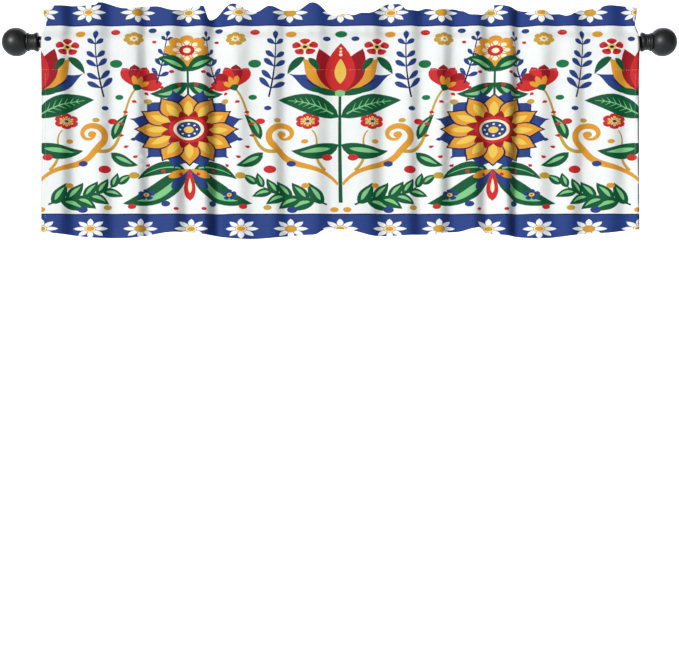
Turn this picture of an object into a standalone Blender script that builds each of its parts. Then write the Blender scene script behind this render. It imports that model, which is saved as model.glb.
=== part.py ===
"""Rod-pocket window valance, gathered on a turned metal rod with ball finials.

Frame: origin on the rod's axis at mid-length, +X along the rod, -Y towards
the room (the printed face of the cloth), +Z up.  Lengths are in metres; the
tables are in millimetres and are scaled where they are read.

Four pieces: the valance cloth (front panel, standing header, rod pocket and
hems in one length of cloth), the rod, and a finial screwed into each end.
"""
import math
from collections import namedtuple

import bmesh
import bpy
from mathutils import Vector

MM = 0.001

# ---------------------------------------------------------------- rod
ROD_RADIUS = 12.0 * MM
ROD_HALF_LENGTH = 601.2 * MM
ROD_EDGE = 0.8 * MM            # chamfer at each end of the rod
STUD_RADIUS = 4.0 * MM         # stud that screws into the rod
STUD_LENGTH = 18.0 * MM
STUD_HOLE_EXTRA = 2.0 * MM     # the hole is this much deeper than the stud
FIT_GAP = 0.3 * MM             # clearance between neighbouring pieces
TURNED_STEPS = 32

# ---------------------------------------------------------------- finial
BALL_RADIUS = 28.6 * MM
BALL_CENTRE = 45.0 * MM        # from the finial's face on the rod
BALL_ARC_POINTS = 12
BALL_CUT_RADIUS = 20.5 * MM    # where the ball is cut off square at its neck

# The turned neck, from the ball to the face on the rod.
Turn = namedtuple("Turn", "reach radius")
NECK = [
    Turn(25.0, 15.4),          # groove under the ball
    Turn(23.6, 17.2), Turn(21.4, 18.6), Turn(20.0, 18.6), Turn(19.0, 17.4),   # bead
    Turn(18.4, 16.1), Turn(16.6, 16.8), Turn(14.6, 15.9), Turn(12.6, 16.8),   # ribbed waist
    Turn(11.0, 16.1), Turn(9.0, 16.9), Turn(7.0, 17.9),                       # flare
    Turn(5.4, 19.0), Turn(3.2, 19.2), Turn(1.2, 18.7), Turn(0.0, 17.6),       # collar
]

# ---------------------------------------------------------------- cloth
PLY = 1.5 * MM                 # one thickness of cloth
HEM_PLY = 2.4 * MM             # turned-up hem
HEM_HEIGHT = 25.0 * MM
HEM_STEP = 4.0 * MM            # run over which the hem thins to one ply
CROTCH = 1.6 * MM              # where the plies part, from the stitch line
STRIPS_PER_SPAN = 3            # sections between two rows of FOLDS
EDGE_REACH = 45.0 * MM         # how far a slanted side edge pulls the cloth
FOLD_LEAN = 2.5 * MM           # sideways wander of the folds down the drop

# One row for each crest and each valley along the rod, left to right: place
# along the rod, and how far the cloth stands behind its crest line there.
# From a crest the cloth turns back sharply and comes forward again slowly.
Fold = namedtuple("Fold", "x back")
FOLDS = [
    Fold(-598, 4.0), Fold(-557, 0.0), Fold(-532, 12.4), Fold(-480, 0.0), Fold(-454, 9.9),
    Fold(-405, 0.0), Fold(-381, 12.8), Fold(-331, 0.3), Fold(-307, 12.8), Fold(-270, 0.6),
    Fold(-248, 22.4), Fold(-201, 0.0), Fold(-173, 7.1), Fold(-131, 0.0), Fold(-105, 10.8),
    Fold(-46, 0.0), Fold(-14, 8.6), Fold(61, 0.0), Fold(91, 13.2), Fold(139, 0.3),
    Fold(163, 11.8), Fold(202, 0.5), Fold(226, 14.2), Fold(272, 0.0), Fold(296, 15.3),
    Fold(333, 0.6), Fold(355, 22.0), Fold(401, 0.0), Fold(429, 6.8), Fold(463, 0.0),
    Fold(489, 10.2), Fold(543, 0.0), Fold(573, 8.0), Fold(600, 3.0),
]

# The folded top edge and the bottom edge: place along the rod and height.
EdgePoint = namedtuple("EdgePoint", "x z")
TOP = [
    EdgePoint(-598, 64.8), EdgePoint(-572, 73.4), EdgePoint(-485, 74.2),
    EdgePoint(-476, 80), EdgePoint(-421, 68), EdgePoint(-367, 73.2), EdgePoint(-327, 64.2),
    EdgePoint(-270.4, 73.2), EdgePoint(-257.4, 45.8), EdgePoint(-213, 77.6),
    EdgePoint(-167, 60.4), EdgePoint(-138.4, 72.8), EdgePoint(-111, 64.4),
    EdgePoint(-85, 64.8), EdgePoint(-54.6, 79.6), EdgePoint(-11, 54), EdgePoint(9, 57.8),
    EdgePoint(27, 54.4), EdgePoint(43, 58.8), EdgePoint(57, 58.4), EdgePoint(97, 77.6),
    EdgePoint(115, 77.4), EdgePoint(134, 64.2), EdgePoint(152, 63.6), EdgePoint(170, 68.2),
    EdgePoint(187, 65.2), EdgePoint(226, 67.4), EdgePoint(241, 63.6), EdgePoint(260, 55.6),
    EdgePoint(279, 55), EdgePoint(306.6, 75.8), EdgePoint(381, 62.8), EdgePoint(403, 65.2),
    EdgePoint(424.6, 56.4), EdgePoint(435, 56.8), EdgePoint(451.2, 52.8),
    EdgePoint(483, 64.6), EdgePoint(507, 68), EdgePoint(541, 73.6), EdgePoint(563, 73),
    EdgePoint(600, 69.5),
]
HEM = [
    EdgePoint(-598, -381), EdgePoint(-468, -392), EdgePoint(-430, -392), EdgePoint(-329, -379.5),
    EdgePoint(-181, -394), EdgePoint(-54, -385.5), EdgePoint(-24, -373), EdgePoint(10, -375),
    EdgePoint(78, -388), EdgePoint(172, -385), EdgePoint(232, -380), EdgePoint(280, -371),
    EdgePoint(300, -384), EdgePoint(401, -392.5), EdgePoint(521, -382), EdgePoint(601, -375),
]

# The two side edges at several heights.
Side = namedtuple("Side", "z left right")
SIDES = [
    Side(-400, -598.0, 601.0), Side(-200, -597.4, 600.2), Side(-36, -596.6, 599.2),
    Side(12, -594.6, 597.4), Side(34, -587.0, 591.0), Side(52, -592.2, 594.4),
    Side(90, -593.0, 594.8),
]

# Lines of the cloth seen end on.  crest is where the crests run, and a valley
# stands behind it by gain times its row's "back" value (y towards the wall).
Level = namedtuple("Level", "z crest gain")
PANEL = [                      # hem to low seam; z is the fraction of the drop
    Level(0.30, -15.0, 1.00), Level(0.55, -15.4, 1.00), Level(0.76, -16.2, 1.00),
    Level(0.91, -17.8, 0.97),
]
HEM_LEVEL = Level(0.0, -15.0, 1.00)
LOW_SEAM = Level(-58.0, -20.2, 0.92)     # stitch line that closes the rod pocket
LOW_SEAM_Z = LOW_SEAM.z * MM
FRONT_POCKET = [
    Level(-41.0, -23.6, 0.86), Level(-23.0, -28.0, 0.78), Level(-8.0, -30.0, 0.74),
    Level(2.0, -29.2, 0.70), Level(9.0, -26.6, 0.73), Level(14.0, -23.8, 0.77),
]
BACK_POCKET = [
    Level(-42.0, -8.0, 0.80), Level(-27.0, 5.0, 0.60), Level(-11.0, 13.6, 0.35),
    Level(2.0, 15.2, 0.28), Level(11.5, 10.2, 0.22), Level(16.0, 0.0, 0.35),
    Level(16.2, -11.0, 0.55),
]
TOP_SEAM = Level(17.0, -22.2, 0.80)      # stitch line that rests on the rod
HEADER = [                     # seam to top fold; z is the fraction of the header
    Level(0.45, -20.0, 0.92), Level(1.0, -19.4, 0.97),
]


# ---------------------------------------------------------------- helpers
def eased(rows, x, field):
    """Value of a table's column at x, with a level cosine ease between rows."""
    if x <= rows[0].x * MM:
        return getattr(rows[0], field) * MM
    for a, b in zip(rows, rows[1:]):
        if x <= b.x * MM:
            t = (x - a.x * MM) / ((b.x - a.x) * MM)
            w = 0.5 - 0.5 * math.cos(math.pi * t)
            return (getattr(a, field) * (1 - w) + getattr(b, field) * w) * MM
    return getattr(rows[-1], field) * MM


def side_shift(x, z):
    """Sideways pull near the two side edges, so that their outline slants."""
    rows = SIDES
    z_mm = min(max(z / MM, rows[0].z), rows[-1].z)
    for a, b in zip(rows, rows[1:]):
        if z_mm <= b.z:
            t = (z_mm - a.z) / (b.z - a.z)
            left = (a.left * (1 - t) + b.left * t) * MM
            right = (a.right * (1 - t) + b.right * t) * MM
            break
    x_min, x_max = FOLDS[0].x * MM, FOLDS[-1].x * MM
    pull_left = (left - x_min) * math.exp(-(x - x_min) / EDGE_REACH)
    pull_right = (right - x_max) * math.exp(-(x_max - x) / EDGE_REACH)
    return pull_left + pull_right


def placed(x, y, z):
    lean = FOLD_LEAN * math.sin(z * 9.0 + x * 5.0)
    inside = min(1.0, (x - FOLDS[0].x * MM) / 0.08, (FOLDS[-1].x * MM - x) / 0.08)
    return Vector((x + side_shift(x, z) + lean * max(inside, 0.0), y, z))


def level_point(level, x, z=None):
    back = eased(FOLDS, x, "back")
    return (level.crest * MM + level.gain * back, level.z * MM if z is None else z)


def offsets(line, first, last):
    """Both faces of a ply whose middle line runs through the (y, z) points.

    first and last are the points just before and after the line, so that the
    faces leave each end square to the cloth."""
    run = [first] + line + [last]
    left, right = [], []
    for before, here, after in zip(run, run[1:], run[2:]):
        dy, dz = after[0] - before[0], after[1] - before[1]
        size = math.hypot(dy, dz)
        ny, nz = -dz / size, dy / size
        half = PLY / 2
        left.append((here[0] + ny * half, here[1] + nz * half))
        right.append((here[0] - ny * half, here[1] - nz * half))
    return left, right


# ---------------------------------------------------------------- cloth
def cloth_section(x):
    """Closed outline, pocket outline and the polygons that fill the section.

    The outline goes up the front from the hem, over the top fold and down the
    back; the pocket outline is the opening that the rod goes through."""
    hem_z = eased(HEM, x, "z")
    top_z = eased(TOP, x, "z")
    front, back = [], []

    # the hem, two rows, and the panel above it
    y, _ = level_point(HEM_LEVEL, x)
    front += [(y - PLY / 2, hem_z), (y - PLY / 2, hem_z + HEM_HEIGHT)]
    back += [(y - PLY / 2 + HEM_PLY, hem_z), (y - PLY / 2 + HEM_PLY, hem_z + HEM_HEIGHT)]
    z0 = hem_z + HEM_HEIGHT + HEM_STEP
    front.append((y - PLY / 2, z0))
    back.append((y + PLY / 2, z0))
    for level in PANEL:
        z = z0 + (LOW_SEAM_Z - z0) * level.z
        y, _ = level_point(level, x)
        front.append((y - PLY / 2, z))
        back.append((y + PLY / 2, z))
    low_row = len(front)
    low_y, low_z = level_point(LOW_SEAM, x)
    front.append((low_y - PLY / 2, low_z))
    back.append((low_y + PLY * 1.5, low_z))

    # the two plies round the rod
    top_y, top_z0 = level_point(TOP_SEAM, x)
    front_mid = [level_point(level, x) for level in FRONT_POCKET]
    back_mid = [level_point(level, x) for level in BACK_POCKET]
    front_out, front_in = offsets(front_mid, (low_y, low_z), (top_y - PLY / 2, top_z0))
    back_out, back_in = offsets(back_mid, (low_y + PLY, low_z), (top_y + PLY / 2, top_z0))
    back_out, back_in = back_in, back_out
    front += front_out
    back += back_out
    low_crotch = (low_y + PLY / 2, low_z + CROTCH)
    top_crotch = (top_y, top_z0 - CROTCH * 0.5)
    inner = [low_crotch] + front_in + [top_crotch] + list(reversed(back_in))

    # the header, both plies together, closed by the top fold
    top_row_front, top_row_back = len(front), len(back)
    front.append((top_y - PLY, top_z0))
    back.append((top_y + PLY, top_z0))
    for level in HEADER:
        z = top_z0 + (top_z - PLY - top_z0) * level.z
        y, _ = level_point(level, x)
        front.append((y - PLY, z))
        back.append((y + PLY, z))
    tip = (level_point(HEADER[-1], x)[0], top_z)

    outline = front + [tip] + list(reversed(back))
    n = len(outline)

    def f(i):
        return ("outline", i)

    def b(i):
        return ("outline", n - 1 - i)

    def p(i):
        return ("pocket", i % len(inner))

    fill = [[f(i), f(i + 1), b(i + 1), b(i)] for i in range(low_row - 1)]
    fill.append([f(low_row - 1), f(low_row), p(0), b(low_row), b(low_row - 1)])
    turns_front = len(front_in) + 1
    for i in range(turns_front):
        fill.append([f(low_row + i), f(low_row + i + 1), p(i + 1), p(i)])
    for i in range(len(back_in) + 1):
        fill.append([b(low_row + i), b(low_row + i + 1), p(-i - 1), p(-i)])
    fill.append([f(top_row_front), f(top_row_front + 1), b(top_row_back + 1),
                 b(top_row_back), p(turns_front)])
    for i in range(1, len(HEADER)):
        fill.append([f(top_row_front + i), f(top_row_front + i + 1),
                     b(top_row_back + i + 1), b(top_row_back + i)])
    fill.append([f(len(front) - 1), ("outline", len(front)), b(len(back) - 1)])
    return outline, inner, fill


def cloth_columns():
    """Places along the rod where the cloth's sections are taken."""
    xs = []
    for a, b in zip(FOLDS, FOLDS[1:]):
        for i in range(STRIPS_PER_SPAN):
            xs.append((a.x + (b.x - a.x) * i / STRIPS_PER_SPAN) * MM)
    return xs + [FOLDS[-1].x * MM]


def build_cloth(name, collection, material):
    bm = bmesh.new()
    rings = []
    for x in cloth_columns():
        outline, inner, fill = cloth_section(x)
        rings.append({
            "outline": [bm.verts.new(placed(x, y, z)) for y, z in outline],
            "pocket": [bm.verts.new(placed(x, y, z)) for y, z in inner],
        })
    for left, right in zip(rings, rings[1:]):
        for loop in ("outline", "pocket"):
            count = len(left[loop])
            for i in range(count):
                j = (i + 1) % count
                bm.faces.new((left[loop][i], left[loop][j], right[loop][j], right[loop][i]))
    for ring in (rings[0], rings[-1]):
        for polygon in fill:
            corners = [ring[loop][i] for loop, i in polygon]
            bm.faces.new(corners)
    bmesh.ops.recalc_face_normals(bm, faces=bm.faces)
    mesh = bpy.data.meshes.new(name)
    bm.to_mesh(mesh)
    bm.free()
    mesh.shade_smooth()
    mesh.set_sharp_from_angle(angle=math.radians(50))
    return add_object(name, mesh, collection, material)


# ---------------------------------------------------------------- turned pieces
def add_object(name, mesh, collection, material):
    obj = bpy.data.objects.new(name, mesh)
    mesh.materials.append(material)
    collection.objects.link(obj)
    return obj


def build_turned(name, profile, collection, material):
    """A piece turned about its local Z from (radius, height) points that run
    from the top of the axis down the outer side to the bottom of the axis."""
    mesh = bpy.data.meshes.new(name)
    verts = [(radius, 0.0, height) for radius, height in profile]
    edges = [(i, i + 1) for i in range(len(verts) - 1)]
    mesh.from_pydata(verts, edges, [])
    obj = add_object(name, mesh, collection, material)
    turn = obj.modifiers.new("Turned", "SCREW")
    turn.axis = "Z"
    turn.angle = 2 * math.pi
    turn.steps = TURNED_STEPS
    turn.render_steps = TURNED_STEPS
    turn.use_merge_vertices = True
    turn.merge_threshold = 0.00002
    turn.use_smooth_shade = True
    return obj


def rod_profile():
    hole_r = STUD_RADIUS + FIT_GAP
    hole_z = ROD_HALF_LENGTH - STUD_LENGTH - STUD_HOLE_EXTRA
    upper = [
        (0.0, hole_z),
        (hole_r, hole_z),
        (hole_r, ROD_HALF_LENGTH),
        (ROD_RADIUS - ROD_EDGE, ROD_HALF_LENGTH),
        (ROD_RADIUS, ROD_HALF_LENGTH - ROD_EDGE),
    ]
    return upper + [(r, -z) for r, z in reversed(upper)]


def finial_profile():
    """Ball, turned neck and stud, ball end first.

    Heights are measured from the face that meets the rod."""
    edge = 0.7 * MM
    cut_angle = math.pi - math.asin(BALL_CUT_RADIUS / BALL_RADIUS)
    points = []
    for i in range(BALL_ARC_POINTS + 1):
        a = cut_angle * i / BALL_ARC_POINTS
        points.append((BALL_RADIUS * math.sin(a), BALL_CENTRE + BALL_RADIUS * math.cos(a)))
    points += [(turn.radius * MM, turn.reach * MM) for turn in NECK]
    points += [
        (STUD_RADIUS, 0.0),
        (STUD_RADIUS, -STUD_LENGTH + edge),
        (STUD_RADIUS - edge, -STUD_LENGTH),
        (0.0, -STUD_LENGTH),
    ]
    return points


# ---------------------------------------------------------------- materials
def plain_material(name, colour, roughness, metallic, sheen=0.0):
    material = bpy.data.materials.new(name)
    material.use_nodes = True
    shader = material.node_tree.nodes["Principled BSDF"]
    shader.inputs["Base Color"].default_value = (*colour, 1.0)
    shader.inputs["Roughness"].default_value = roughness
    shader.inputs["Metallic"].default_value = metallic
    shader.inputs["Sheen Weight"].default_value = sheen
    return material


def new_collection(name):
    collection = bpy.data.collections.new(name)
    bpy.context.scene.collection.children.link(collection)
    return collection


def main():
    for obj in list(bpy.data.objects):
        bpy.data.objects.remove(obj, do_unlink=True)

    parts = new_collection("window_valance")
    cloth = plain_material("valance_cloth", (0.80, 0.82, 0.86), 0.62, 0.0, sheen=0.3)
    rod_metal = plain_material("rod_black", (0.018, 0.018, 0.020), 0.38, 0.6)
    finial_left_metal = plain_material("finial_left_black", (0.020, 0.020, 0.022), 0.34, 0.6)
    finial_right_metal = plain_material("finial_right_black", (0.020, 0.020, 0.022), 0.34, 0.6)

    build_cloth("valance", parts, cloth)

    rod = build_turned("rod", rod_profile(), parts, rod_metal)
    rod.rotation_euler = (0.0, math.radians(90), 0.0)

    reach = ROD_HALF_LENGTH + FIT_GAP
    right = build_turned("finial_right", finial_profile(), parts, finial_right_metal)
    right.location = (reach, 0.0, 0.0)
    right.rotation_euler = (0.0, math.radians(90), 0.0)
    left = build_turned("finial_left", finial_profile(), parts, finial_left_metal)
    left.location = (-reach, 0.0, 0.0)
    left.rotation_euler = (0.0, math.radians(-90), 0.0)


main()
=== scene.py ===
"""Looks of a rod-pocket window valance, gathered on a turned black rod.

The cloth is one printed sheet.  It is laid out flat first, with the print cut
into it as areas of colour, and then folded into place: bottom hem turned up
behind, front panel, standing header, top fold, back of the header, back of the
rod pocket.  Lengths in the tables are millimetres; x runs along the rod, z is
up from the rod's axis, -y faces the room.
"""
import math
import random
from collections import namedtuple

import bpy
import numpy as np
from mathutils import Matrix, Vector, kdtree
from mathutils.geometry import delaunay_2d_cdt


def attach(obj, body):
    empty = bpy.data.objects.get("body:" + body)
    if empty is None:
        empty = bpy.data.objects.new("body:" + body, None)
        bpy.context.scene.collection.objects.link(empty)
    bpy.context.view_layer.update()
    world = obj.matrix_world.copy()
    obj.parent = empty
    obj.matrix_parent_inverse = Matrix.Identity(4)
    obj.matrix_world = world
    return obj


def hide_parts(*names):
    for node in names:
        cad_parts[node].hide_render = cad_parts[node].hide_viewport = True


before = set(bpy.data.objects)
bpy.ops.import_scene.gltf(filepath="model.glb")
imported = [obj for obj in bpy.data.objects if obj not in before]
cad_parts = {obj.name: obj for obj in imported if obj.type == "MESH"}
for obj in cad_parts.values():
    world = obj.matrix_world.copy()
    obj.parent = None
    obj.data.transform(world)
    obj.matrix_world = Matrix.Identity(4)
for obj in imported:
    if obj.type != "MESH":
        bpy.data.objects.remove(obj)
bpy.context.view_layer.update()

MM = 0.001

# ================================================================ sizes
FLAT_WIDTH = 1321.0            # flat width between the side edges (52 in)
SHEET = 0.5                    # thickness of the cloth
FOLD_R = 0.6                   # radius of the folded top edge
HEM_R = 0.5                    # radius of the folded hems
HEM_DEPTH = 25.0               # bottom hem
HEM_STITCH = 21.0              # its stitch line, above the edge
SIDE_HEM = 12.0                # side hems
SIDE_STITCH = 9.0
TOP_SEAM_Z = 17.0              # stitch line that rests on the rod
LOW_SEAM_Z = -58.0             # stitch line that closes the rod pocket
COLUMN_STEP = 5.6              # spacing of the sheet's columns
EDGE_REACH = 45.0
FOLD_LEAN = 2.5

ROD_RADIUS = 12.0
ROD_HALF = 601.2
FIT_GAP = 0.3

# A row for each crest and valley: place, and how far the cloth stands behind
# its crest line.  It turns back sharply and comes forward again slowly.
Fold = namedtuple("Fold", "x back")
FOLDS = [
    Fold(-598, 4.0), Fold(-557, 0.0), Fold(-532, 12.4), Fold(-480, 0.0), Fold(-454, 9.9),
    Fold(-405, 0.0), Fold(-381, 12.8), Fold(-331, 0.3), Fold(-307, 12.8), Fold(-271, 0.6),
    Fold(-246, 22.4), Fold(-201, 0.0), Fold(-173, 7.1), Fold(-131, 0.0), Fold(-105, 10.8),
    Fold(-46, 0.0), Fold(-14, 8.6), Fold(61, 0.0), Fold(91, 13.2), Fold(139, 0.3),
    Fold(163, 11.8), Fold(202, 0.5), Fold(226, 14.2), Fold(272, 0.0), Fold(296, 15.3),
    Fold(335, 0.6), Fold(357, 22.0), Fold(401, 0.0), Fold(429, 6.8), Fold(463, 0.0),
    Fold(489, 10.2), Fold(543, 0.0), Fold(573, 8.0), Fold(600, 3.0),
]
# The folded top edge and the bottom edge.
EdgePoint = namedtuple("EdgePoint", "x z")
TOP = [
    EdgePoint(-598, 61.7), EdgePoint(-572, 70.2), EdgePoint(-485, 71),
    EdgePoint(-476, 76.8), EdgePoint(-421, 64.9), EdgePoint(-367, 70),
    EdgePoint(-327, 61.1), EdgePoint(-270.4, 70), EdgePoint(-257.4, 42.8),
    EdgePoint(-213, 74.4), EdgePoint(-167, 57.3), EdgePoint(-138.4, 69.6),
    EdgePoint(-111, 61.3), EdgePoint(-85, 61.7), EdgePoint(-54.6, 76.4),
    EdgePoint(-11, 50.9), EdgePoint(9, 54.7), EdgePoint(27, 51.3), EdgePoint(43, 55.7),
    EdgePoint(57, 55.3), EdgePoint(97, 74.4), EdgePoint(115, 74.2), EdgePoint(134, 61.1),
    EdgePoint(152, 60.5), EdgePoint(170, 65.1), EdgePoint(187, 62.1), EdgePoint(226, 64.3),
    EdgePoint(241, 60.5), EdgePoint(260, 52.5), EdgePoint(279, 51.9),
    EdgePoint(306.6, 72.6), EdgePoint(381, 59.7), EdgePoint(403, 62.1),
    EdgePoint(424.6, 53.3), EdgePoint(435, 53.7), EdgePoint(451.2, 49.7),
    EdgePoint(483, 61.5), EdgePoint(507, 64.9), EdgePoint(541, 70.4), EdgePoint(563, 69.8),
    EdgePoint(600, 66.3),
]
HEM = [
    EdgePoint(-598, -381.9), EdgePoint(-468, -392.8), EdgePoint(-430, -392.8), EdgePoint(-329, -380.4),
    EdgePoint(-181, -394.8), EdgePoint(-54, -386.4), EdgePoint(-24, -373.9), EdgePoint(10, -375.9),
    EdgePoint(78, -388.9), EdgePoint(172, -385.9), EdgePoint(232, -380.9), EdgePoint(280, -371.9),
    EdgePoint(300, -384.9), EdgePoint(401, -393.3), EdgePoint(521, -382.9), EdgePoint(601, -375.9),
]
Side = namedtuple("Side", "z left right")
SIDES = [
    Side(-400, -595, 598), Side(-200, -594.4, 597.2), Side(-36, -593.6, 596.2),
    Side(12, -591.6, 594.4), Side(34, -584.1, 588), Side(52, -589.2, 591.4),
    Side(90, -590, 591.8),
]
# The cloth seen end on: height, crest line, and how much of "back" shows there.
Level = namedtuple("Level", "z crest gain")
FRONT = [
    Level(-400, -15.0, 1.00), Level(-356, -15.0, 1.00), Level(-267, -15.0, 1.00),
    Level(-192, -15.4, 1.00), Level(-130, -16.2, 1.00), Level(-85, -17.8, 0.97),
    Level(-58, -20.2, 0.92), Level(-41, -23.6, 0.86), Level(-23, -28.0, 0.78),
    Level(-8, -30.0, 0.74), Level(2, -29.2, 0.70), Level(9, -26.6, 0.73),
    Level(14, -23.9, 0.77), Level(17, -22.6, 0.80), Level(21, -21.4, 0.83),
    Level(30, -20.4, 0.88), Level(40, -20.0, 0.92), Level(69, -19.8, 0.97),
    Level(90, -19.8, 0.98),
]
BACK = [                       # from the top seam over the rod to the low seam
    Level(17, -21.4, 0.80), Level(16.2, -11.0, 0.55), Level(16.0, 0.0, 0.35),
    Level(11.5, 10.2, 0.22), Level(2, 15.2, 0.28), Level(-11, 13.6, 0.35),
    Level(-27, 5.0, 0.60), Level(-42, -8.0, 0.80), Level(-58, -19.0, 0.92),
    Level(-63, -18.6, 0.93),
]


# ================================================================ the folds
def column(rows, name):
    return np.array([getattr(row, name) for row in rows], dtype=float)


def eased(rows, name, x):
    """A table's column at x, easing level through each row."""
    xs, vs = column(rows, "x"), column(rows, name)
    i = np.clip(np.searchsorted(xs, x, side="right") - 1, 0, len(xs) - 2)
    t = np.clip((x - xs[i]) / (xs[i + 1] - xs[i]), 0.0, 1.0)
    w = 0.5 - 0.5 * np.cos(np.pi * t)
    return vs[i] * (1 - w) + vs[i + 1] * w


def monotone(xs, ys, x):
    """Smooth curve through the points that never overshoots them."""
    h, d = np.diff(xs), np.diff(ys) / np.diff(xs)
    m = np.zeros(len(xs))
    m[0], m[-1] = d[0], d[-1]
    for i in range(1, len(xs) - 1):
        if d[i - 1] * d[i] > 0:
            w1, w2 = 2 * h[i] + h[i - 1], h[i] + 2 * h[i - 1]
            m[i] = (w1 + w2) / (w1 / d[i - 1] + w2 / d[i])
    i = np.clip(np.searchsorted(xs, x, side="right") - 1, 0, len(xs) - 2)
    t = np.clip((x - xs[i]) / h[i], 0.0, 1.0)
    return ((1 + 2 * t) * (1 - t) ** 2 * ys[i] + t * (1 - t) ** 2 * h[i] * m[i]
            + t * t * (3 - 2 * t) * ys[i + 1] + t * t * (t - 1) * h[i] * m[i + 1])


def arc_table():
    """Place along the rod against the cloth's own width, measured in its folds."""
    x = np.linspace(FOLDS[0].x, FOLDS[-1].x, 6001)
    y = eased(FOLDS, "back", x)
    run = np.concatenate([[0.0], np.cumsum(np.hypot(np.diff(x), np.diff(y)))])
    return run * (FLAT_WIDTH / run[-1]), x


ARC_U, ARC_X = arc_table()
BACK_RUN = np.concatenate([[0.0], np.cumsum(np.hypot(
    np.diff(column(BACK, "z")), np.diff(column(BACK, "crest") + 10 * column(BACK, "gain"))))])


def fold_over(d, r):
    """A sheet folded back on itself: d is the distance past the fold line.

    Gives the distance along the front (negative on the cloth) and the step
    behind it."""
    half = math.pi * r / 2
    turn = np.clip((d + half) / r, 0.0, math.pi)
    along = np.where(d < -half, d, np.where(d > half, -d, -half + r * np.sin(turn)))
    return along, r * (1 - np.cos(turn))


def wave(x, seed, pitch):
    """Uneven ripple: three sines of nearly the same pitch."""
    rng = random.Random(seed)
    total = np.zeros_like(x)
    for k in range(3):
        p = pitch * rng.uniform(0.72, 1.4)
        total += np.sin(2 * np.pi * x / p + rng.uniform(0, 6.28)) / 3
    return total


def small_folds(x, z):
    """Gathers at the two stitch lines, and the faint ripple of thin cloth."""
    gathers = (0.75 * np.exp(-np.abs(z - TOP_SEAM_Z) / 11) * wave(x, 3, 24)
               + 0.75 * np.exp(-np.abs(z - LOW_SEAM_Z) / 16) * wave(x, 5, 27))
    drape = 0.4 * wave(x + 0.05 * z, 7, 47) * np.clip((-z - 40) / 120, 0, 1)
    swing = 0.8 * wave(x - 0.09 * z, 11, 150) * np.clip((-z - 80) / 250, 0, 1)
    return gathers + drape + swing


def stitch_dent(z, line, width=1.6):
    return 0.28 * np.exp(-((z - line) / width) ** 2)


def side_pull(x, z):
    zs = column(SIDES, "z")
    left = monotone(zs, column(SIDES, "left"), z) - FOLDS[0].x
    right = monotone(zs, column(SIDES, "right"), z) - FOLDS[-1].x
    return (left * np.exp(-(x - FOLDS[0].x) / EDGE_REACH)
            + right * np.exp(-(FOLDS[-1].x - x) / EDGE_REACH))


def folded(u, v):
    """Place of the sheet's points: u across the flat cloth, v up the print.

    v is the height of the point on the front; past the top edge it goes on
    down the back, and below the bottom edge it goes up behind the hem."""
    u, v = np.asarray(u, float), np.asarray(v, float)
    # side hems
    a_left, b_left = fold_over(-u, HEM_R)
    a_right, b_right = fold_over(u - FLAT_WIDTH, HEM_R)
    left_half = u < FLAT_WIDTH / 2
    flat_u = np.where(left_half, -a_left, FLAT_WIDTH + a_right)
    behind = np.where(left_half, b_left, b_right)
    x = np.interp(flat_u, ARC_U, ARC_X)
    x = x + np.where(flat_u < 0, flat_u, 0) + np.where(flat_u > FLAT_WIDTH, flat_u - FLAT_WIDTH, 0)

    back = eased(FOLDS, "back", x)
    top = eased(TOP, "z", x)
    hem = eased(HEM, "z", x)
    d_top = v - top
    a_top, b_top = fold_over(d_top, FOLD_R)
    d_hem = hem - v
    a_hem, b_hem = fold_over(d_hem, HEM_R)
    z = np.where(d_hem > -5, hem - a_hem, top + a_top)
    facing = np.clip(-d_top / (math.pi * FOLD_R / 2), -1, 1)

    zs = column(FRONT, "z")
    y = monotone(zs, column(FRONT, "crest"), z) + monotone(zs, column(FRONT, "gain"), z) * back
    y = y + b_top + np.where(d_hem > -5, b_hem, 0.0)
    y = y - 0.25 * np.exp(-((z - (hem + HEM_DEPTH)) / 1.2) ** 2) * (d_hem < -5)

    # the back of the rod pocket
    past = d_top - (top - TOP_SEAM_Z)
    s = np.clip(past, 0.0, BACK_RUN[-1])
    yb = (monotone(BACK_RUN, column(BACK, "crest"), s)
          + monotone(BACK_RUN, column(BACK, "gain"), s) * back)
    zb = monotone(BACK_RUN, column(BACK, "z"), s)
    on_back = past > 0
    y = np.where(on_back, yb, y)
    z = np.where(on_back, zb, z)

    y = y + behind * facing + small_folds(x, z)
    front_dent = 0.5 * stitch_dent(z, TOP_SEAM_Z) + 0.7 * stitch_dent(z, LOW_SEAM_Z) + stitch_dent(z, hem + HEM_STITCH)
    back_dent = stitch_dent(z, TOP_SEAM_Z) + stitch_dent(z, LOW_SEAM_Z)
    y = y + np.where(d_top < 0, front_dent, -back_dent) * (d_hem < 0)

    inside = np.clip(np.minimum((x - FOLDS[0].x) / 80, (FOLDS[-1].x - x) / 80), 0, 1)
    x = x + side_pull(x, z) + FOLD_LEAN * np.sin(z * 0.009 + x * 0.005) * inside
    return np.stack([x, y, z], axis=-1)


def outward(u, v):
    """Unit normal on the printed side."""
    e = 0.06
    du = folded(u + e, v) - folded(u - e, v)
    dv = folded(u, v + e) - folded(u, v - e)
    n = np.cross(du, dv)
    return n / np.maximum(np.linalg.norm(n, axis=-1, keepdims=True), 1e-9)


# ================================================================ the print
# A generic folk floral of common motifs.  It is drawn as it hangs
# (p along the rod from the middle, q = height) and repeats every CELL across
# and every REPEAT up the cloth.
CELL = 610.0
REPEAT = 430.0
BAND_LOW = 29.0                # lower edge of the top band
BAND_TALL = 57.0
DAISY_PITCH = 99.8
STRETCH = 1.5                  # the print is drawn wider than tall

INKS = ["ground", "blue", "navy", "red", "dark_red", "orange", "yellow", "cream",
        "dark_green", "green", "light_green", "gold"]
INK = {name: i for i, name in enumerate(INKS)}

ART = []                       # (ink, points, symmetric about its own axis)


def draw(ink, points, axis=False):
    ART.append((INK[ink], points, axis))


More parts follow.
